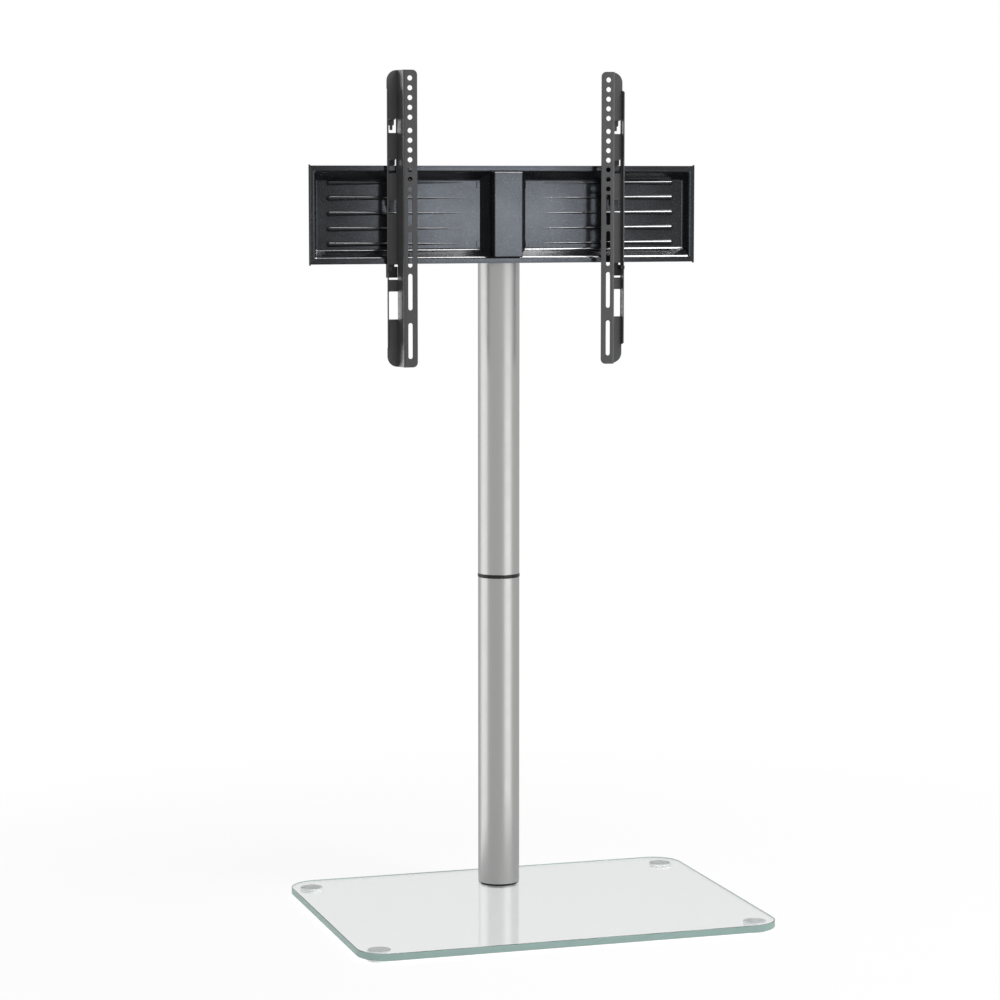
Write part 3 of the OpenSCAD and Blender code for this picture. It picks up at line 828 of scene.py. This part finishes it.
def build_channel():
    """The folded channel: a narrow front, slanted sides and a flared foot with four weld tabs."""
    low, high, middle = box_of("centre_channel")
    half_h = (high.z - low.z) / 2
    neck_y = low.y + CHANNEL_REACH
    floor_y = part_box("mount_pan")[0].y + RECESS_DEPTH
    channel = add_front_plane("folded_channel", CHANNEL_FACE_W, 2 * half_h, (0, low.y, middle.z))
    pick(channel, "faces", everything)
    extrude((0, CHANNEL_REACH, 0))
    resize((CHANNEL_NECK_W / CHANNEL_FACE_W, 1, 1), (0, neck_y, middle.z))
    extrude((0, floor_y - neck_y, 0))
    resize((CHANNEL_BASE_W / CHANNEL_NECK_W, 1, (half_h - SLOPE_RUN) / half_h), (0, floor_y, middle.z))
    leave()

    def is_open(centre, normal):
        is_back = abs(normal.y) > FACING and centre.y > low.y + NEAR
        is_flare_end = abs(normal.z) > FLARE_END_SHARE and centre.y > neck_y + NEAR
        return is_back or is_flare_end

    def is_bend(a, b):
        on_front = max(a.y, b.y) < low.y + NEAR
        on_floor = max(a.y, b.y) > floor_y - NEAR
        return not on_floor and (on_front or abs(a.x - b.x) < CHANNEL_LEAN)

    pick(channel, "faces", is_open)
    bpy.ops.mesh.delete(type="FACE")
    leave()
    face_outwards(channel)
    round_edges(channel, is_bend, radius=CHANNEL_BEND, segments=3)
    thicken(channel, SHEET)
    ease_edges(channel, CHANNEL_EASE, angle=50)
    tabs = [add_weld_tab(side, end, floor_y, middle.z) for side in (LEFT, RIGHT) for end in (-1, 1)]
    channel = join("folded_channel", [channel] + tabs)
    smooth(channel)
    dress(channel, "centre_channel", "stand", "pan_paint")


def add_hook(front_y, x, z_top):
    """A tongue bent back out of the rail and then down, with shoulders above its narrow tip."""
    rear_y = front_y + RAIL_STEP
    end_y = front_y + RAIL_DEPTH + HOOK_BACK
    hook = add_plane("hook", HOOK_ROOT_W, end_y - rear_y, (x, (rear_y + end_y) / 2, z_top))
    pick(hook, "edges", lambda a, b: min(a.y, b.y) > end_y - NEAR)
    extrude((0, 0, -HOOK_SHOULDER))
    extrude((0, 0, -HOOK_STEP))
    resize((HOOK_TIP_W / HOOK_ROOT_W, 1, 1), (x, end_y, z_top))
    extrude((0, 0, HOOK_SHOULDER + HOOK_STEP - HOOK_DOWN))
    leave()
    round_edges(hook, lambda a, b: min(a.y, b.y) > end_y - NEAR and min(a.z, b.z) > z_top - NEAR,
                radius=HOOK_BEND, segments=5)
    round_corners(hook, lambda co: co.z < z_top - HOOK_DOWN + NEAR, radius=HOOK_TIP_CORNER, segments=4)
    thicken(hook, RAIL_SHEET)
    return hook


def add_slot(x, z, length, y0, y1):
    """A cutter for a slot: a pin whose upper and lower halves are drawn apart."""
    slot = add_pin("slot", SLOT_RADIUS, x, z, y0, y1)
    for end in (-1, 1):
        pick(slot, "vertices", lambda co: (co.z - z) * end > NEAR)
        bpy.ops.transform.translate(value=(0, 0, end * (length / 2 - SLOT_RADIUS)))
        leave()
    return slot


def rail_cutters(hole_x, front_y, top):
    """Everything punched out of a rail, each as its own cutter."""
    flange = (front_y - PUNCH_PAST, front_y + RAIL_SHEET + PUNCH_PAST)
    drops = [TOP_HOLE_DROP + i * HOLE_PITCH for i in range(UPPER_HOLES)]
    drops += [TOP_HOLE_DROP + HOLE_GAP + (UPPER_HOLES - 1 + i) * HOLE_PITCH for i in range(LOWER_HOLES)]
    cutters = [add_pin("hole", HOLE_RADIUS, hole_x, top - drop, *flange) for drop in drops]
    for drop, length in zip(SLOT_DROP_SHARES, SLOT_LENGTH_SHARES):
        cutters.append(add_slot(hole_x, top - drop * RAIL_LENGTH, length * RAIL_LENGTH, *flange))
    windows = [(HOOK_IN, HOOK_OUT, drop, HOOK_OPENING_H) for drop in HOOK_DROPS]
    windows += [(WINDOW_IN, WINDOW_OUT, drop, height) for drop, height in (LATCH_WINDOW, FINGER_WINDOW)]
    for inner, outer, drop, height in windows:
        window = add_box("punch", (hole_x + inner, front_y + RAIL_STEP - PUNCH_PAST, top - drop - height),
                         (hole_x + outer, front_y + RAIL_DEPTH + PUNCH_PAST, top - drop))
        round_edges(window, lambda a, b: abs(a.y - b.y) > PUNCH_PAST, radius=PUNCH_CORNER, segments=3)
        cutters.append(window)
    return cutters


def stands_on(point):
    """A test for edges that run upwards from a point of a rail's section."""
    def test(a, b):
        return all(max(abs(co.x - point[0]), abs(co.y - point[1])) < NEAR for co in (a, b))
    return test


def add_rail_sheet(name, points, bottom, top):
    """A thin sheet that stands along Z over a line of points."""
    first, second = (Vector(point) for point in points[:2])
    sheet = add_front_plane(name, (second - first).length, top - bottom,
                            ((first.x + second.x) / 2, first.y, (bottom + top) / 2))
    for before, after in zip(points[1:], points[2:]):
        pick(sheet, "edges", stands_on(before))
        extrude((after[0] - before[0], after[1] - before[1], 0))
        leave()
    return sheet


def round_fold(sheet, point):
    """Rounds the long fold over a point of the section, and none of the short edges of a corner there."""
    on_point = stands_on(point)
    round_edges(sheet, lambda a, b: abs(a.z - b.z) > RAIL_LENGTH / 2 and on_point(a, b),
                radius=FOLD_RADIUS, segments=6)


def add_return_flange(outer_x, rear_y, bottom, top):
    """The short flange turned forwards along the rail's outer edge, with slanted ends."""
    root = (outer_x - RAIL_SHEET, rear_y)
    front_y = rear_y + RAIL_SHEET - RETURN_DEPTH
    flange = add_rail_sheet("return_flange", [(outer_x - 2 * FOLD_RADIUS, rear_y), root,
                                              (root[0] + RETURN_LEAN, front_y)], bottom, top)
    round_fold(flange, root)
    pick(flange, "vertices", lambda co: co.y < front_y + NEAR)
    resize((1, 1, 1 - 2 * RETURN_SLANT / (top - bottom)), (outer_x, front_y, (top + bottom) / 2))
    leave()
    thicken(flange, RAIL_SHEET)
    return flange


def build_rails():
    """The right rail, folded, punched and lanced, and the left rail as its mirror image."""
    low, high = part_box("right_rail")
    hole_x = low.x + FLANGE_IN
    outer_x = hole_x + REAR_OUT
    rear_y = low.y + RAIL_STEP
    front_fold = (hole_x + FLANGE_OUT, low.y)
    rear_fold = (front_fold[0] + WEB_SLANT, rear_y)
    rail = add_rail_sheet("bent_rail", [(low.x, low.y), front_fold, rear_fold, (outer_x, rear_y)],
                          low.z, high.z)
    round_corners(rail, lambda co: co.x < low.x + NEAR, radius=FLANGE_CORNER, segments=8)
    round_corners(rail, lambda co: co.x > outer_x - NEAR, radius=REAR_CORNER, segments=12)
    for fold in (front_fold, rear_fold):
        round_fold(rail, fold)
    thicken(rail, RAIL_SHEET)
    return_top = high.z - RETURN_TOP_DROP
    return_bottom = high.z - RETURN_END_DROP
    cut_away(rail, add_box("trim", (outer_x - 2 * FOLD_RADIUS, rear_y - RAIL_DEPTH, return_bottom),
                           (outer_x + RAIL_DEPTH, rear_y + RAIL_DEPTH, return_top)))
    fuse(rail, add_return_flange(outer_x, rear_y, return_bottom, return_top))
    for cutter in rail_cutters(hole_x, low.y, high.z):
        cut_away(rail, cutter)
    hook_x = hole_x + (HOOK_IN + HOOK_OUT) / 2
    rail = join("bent_rail_right", [rail] + [add_hook(low.y, hook_x, high.z - drop) for drop in HOOK_DROPS])
    ease_edges(rail)
    rails = {RIGHT: rail, LEFT: mirrored(rail, "bent_rail_left")}
    for side, piece in rails.items():
        name = SIDE_NAMES[side] + "_rail"
        smooth(piece, angle=32)
        dress(piece, name, name, "rail_paint")


def build_studs():
    """The weld studs of the straps, with thread crests."""
    low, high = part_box("strap_studs")
    length = high.y - low.y
    turns = round(length / STUD_PITCH)
    studs = []
    for x in (low.x + STUD_RADIUS, high.x - STUD_RADIUS):
        for z in (low.z + STUD_RADIUS, high.z - STUD_RADIUS):
            stud = add_pin("stud", STUD_RADIUS, x, z, low.y, high.y, vertices=24)
            pick(stud, "edges", lambda a, b: abs(a.y - b.y) > length / 2)
            bpy.ops.mesh.subdivide(number_cuts=2 * turns - 1)
            leave()
            pick(stud, "vertices", lambda co: round((co.y - low.y) / STUD_PITCH * 2) % 2 == 1)
            resize((THREAD_ROOT_SHARE, 1, THREAD_ROOT_SHARE), (x, 0, z))
            leave()
            studs.append(stud)
    piece = join("threaded_studs", studs)
    smooth(piece, angle=20)
    dress(piece, "strap_studs", "stand", "zinc_steel")


def soften(node, body, slot, width):
    """A copy of a CAD node with merged faces and eased edges."""
    piece = copy_of(frame["nodes"][node], "eased_" + node)
    piece.parent = None
    for key in [key for key in piece.keys() if key.startswith("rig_")]:
        del piece[key]
    pick(piece, "faces", everything)
    bpy.ops.mesh.remove_doubles(threshold=SAME)
    bpy.ops.mesh.dissolve_limited(angle_limit=FLAT_ANGLE)
    leave()
    ease_edges(piece, width)
    smooth(piece)
    dress(piece, node, body, slot)


def paint_the_rest():
    """Every CAD node keeps its shape where nothing replaces it, and takes its slot's finish."""
    slots = {part["node"]: part["material_slot"] for part in frame["record"]["subparts"]}
    for name, node in frame["nodes"].items():
        node.data.materials.clear()
        node.data.materials.append(finishes[slots[name]])


def build_pieces():
    paint_the_rest()
    build_glass()
    for end in ("front", "back"):
        for side in SIDE_NAMES.values():
            build_foot("foot_%s_%s" % (end, side))
    for node in ("lower_tube", "upper_tube"):
        build_tube(node)
    build_ring()
    build_cap()
    build_pan()
    build_channel()
    build_rails()
    for side in SIDE_NAMES.values():
        soften(side + "_glide", side + "_rail", "black_plastic", GLIDE_EASE)
        soften(side + "_latch", side + "_latch", "black_plastic", LATCH_EASE)
    for node in ("upper_strap", "lower_strap"):
        soften(node, "stand", "black_paint", STRAP_EASE)
    for node in ("clamp_disc", "strap_washers", "strap_nuts"):
        soften(node, "stand", "zinc_steel", FITTING_EASE)
    build_studs()


# Scene

def seen_directly(tree):
    """1 for what the camera sees straight or through glass, 0 for all other rays."""
    path = tree.nodes.new("ShaderNodeLightPath")
    seen = calculate(tree, "MAXIMUM", path.outputs["Is Camera Ray"], path.outputs["Is Transmission Ray"])
    unmirrored = map_range(tree, path.outputs["Glossy Depth"], (0, 1), (1, 0))
    return calculate(tree, "MULTIPLY", seen, unmirrored)


def make_floor():
    """A white floor that the camera sees almost white, with a faint shadow of the stand."""
    floor = add_plane("floor", FLOOR_SIZE, FLOOR_SIZE, (0, 0, 0))
    material, tree, shader = new_material("pale_floor", FLOOR_COLOUR, roughness=0.8, Specular_IOR_Level=0)
    white = node_in(tree, "ShaderNodeEmission", strength=1)
    distance = node_in(tree, "ShaderNodeVectorMath", operation="LENGTH")
    tree.links.new(tree.nodes.new("ShaderNodeTexCoord").outputs["Object"], distance.inputs[0])
    whiteness = map_range(tree, distance.outputs["Value"], FLOOR_FADE, (FLOOR_WHITE_SHARE, 1))
    share = calculate(tree, "MULTIPLY", seen_directly(tree), whiteness)
    mix_shaders(tree, share, shader.outputs["BSDF"], white.outputs["Emission"],
                tree.nodes["Material Output"])
    floor.data.materials.append(material)
    floor.visible_glossy = False
    floor.visible_shadow = False
    floor.visible_transmission = False


def make_world():
    """White where it is seen, dim for diffuse light, and in reflections brightest behind, darkest below."""
    world = bpy.data.worlds.new("studio")
    bpy.context.scene.world = world
    world.use_nodes = True
    tree = world.node_tree
    way = tree.nodes.new("ShaderNodeSeparateXYZ")
    tree.links.new(tree.nodes.new("ShaderNodeTexCoord").outputs["Generated"], way.inputs["Vector"])
    backwards = map_range(tree, way.outputs["Y"], BACK_FADE, (0, 1))
    upwards = map_range(tree, way.outputs["Z"], HORIZON_FADE, (0, 1))
    behind = calculate(tree, "MULTIPLY", backwards, upwards)
    gloss = calculate(tree, "MULTIPLY", map_range(tree, behind, (0, 1), (ROOM_GLOSS, BACK_GLOSS)),
                      map_range(tree, way.outputs["Z"], BELOW_FADE, (BELOW_GLOSS, 1)))
    level = tree.nodes.new("ShaderNodeMix")
    level.inputs["A"].default_value = ROOM_FILL
    tree.links.new(tree.nodes.new("ShaderNodeLightPath").outputs["Is Glossy Ray"], level.inputs["Factor"])
    tree.links.new(gloss, level.inputs["B"])
    room = tree.nodes["Background"]
    backdrop = tree.nodes.new("ShaderNodeBackground")
    for background in (room, backdrop):
        background.inputs["Color"].default_value = (1, 1, 1, 1)
    tree.links.new(level.outputs["Result"], room.inputs["Strength"])
    mix_shaders(tree, seen_directly(tree), room.outputs["Background"], backdrop.outputs["Background"],
                tree.nodes["World Output"])


def add_softbox(name, centre, target, size, glow, colour=(1, 1, 1)):
    """A rectangle that glows evenly towards its target."""
    light = bpy.data.lights.new(name, "AREA")
    light.shape = "RECTANGLE"
    light.size, light.size_y = size
    light.energy = glow * math.pi * size[0] * size[1]
    light.color = colour
    box = bpy.data.objects.new(name, light)
    box.location = centre
    box.rotation_euler = (Vector(target) - Vector(centre)).to_track_quat("-Z", "Y").to_euler()
    box.visible_camera = False
    bpy.context.scene.collection.objects.link(box)
    return box


def add_card(name, pieces, **placing):
    """A softbox that shows in the reflections of the given pieces only and lights nothing."""
    card = add_softbox(name, **placing)
    card.visible_diffuse = False
    card.light_linking.receiver_collection = bpy.data.collections.new("seen_from_" + name)
    for piece in pieces:
        card.light_linking.receiver_collection.objects.link(piece)


def make_lights():
    objects = bpy.context.scene.objects
    all_but_glass = [piece for piece in objects if piece.type == "MESH" and piece.name != "clear_plate"]
    pressed = [objects["pressed_pan"], objects["folded_channel"]]
    bent = [objects["bent_rail_left"], objects["bent_rail_right"]]
    add_softbox("key_softbox", centre=(0.875, -0.8, 2.6), target=(0.1, 0.1, 0.9), size=(1.05, 1.6), glow=10)
    add_card("right_card", all_but_glass, centre=(1.28, -1.65, -0.05), target=(0, 0.14, -0.05),
             size=(1.65, 1.8), glow=0.62)
    add_card("left_card", all_but_glass, centre=(-2.08, 0.82, 0.1), target=(0, 0.14, 0.1),
             size=(2.1, 2.1), glow=0.57)
    add_card("pan_card", pressed, centre=(0.29, -0.88, 0.975), target=(0.2, 0.1, 0.985),
             size=(0.34, 0.2), glow=6, colour=PAN_CARD_BLUE)
    add_card("rib_card", pressed, centre=(0.61, -0.55, 1.88), target=(0.1, 0.1, 0.98),
             size=(0.56, 1.1), glow=26)
    add_card("left_back_card", bent, centre=(-1.2, 0.85, 0.95), target=MOUNT_MIDDLE,
             size=(0.5, 1.2), glow=9)
    add_card("left_front_card", bent, centre=(-1.4, -0.22, 0.95), target=MOUNT_MIDDLE,
             size=(0.35, 1.2), glow=2)
    add_card("right_front_card", bent, centre=(1.4, -0.5, 0.95), target=MOUNT_MIDDLE,
             size=(0.5, 1.2), glow=3)


def make_camera():
    data = bpy.data.cameras.new("camera")
    data.lens = LENS
    data.sensor_width = SENSOR
    data.clip_end = CLIP_END
    camera = bpy.data.objects.new("camera", data)
    camera.location = EYE
    camera.rotation_euler = (EYE_TILT, 0, EYE_TURN)
    bpy.context.scene.collection.objects.link(camera)
    bpy.context.scene.camera = camera


make_camera()
build_pieces()
make_floor()
make_world()
make_lights()
bpy.context.scene.view_settings.view_transform = "Standard"
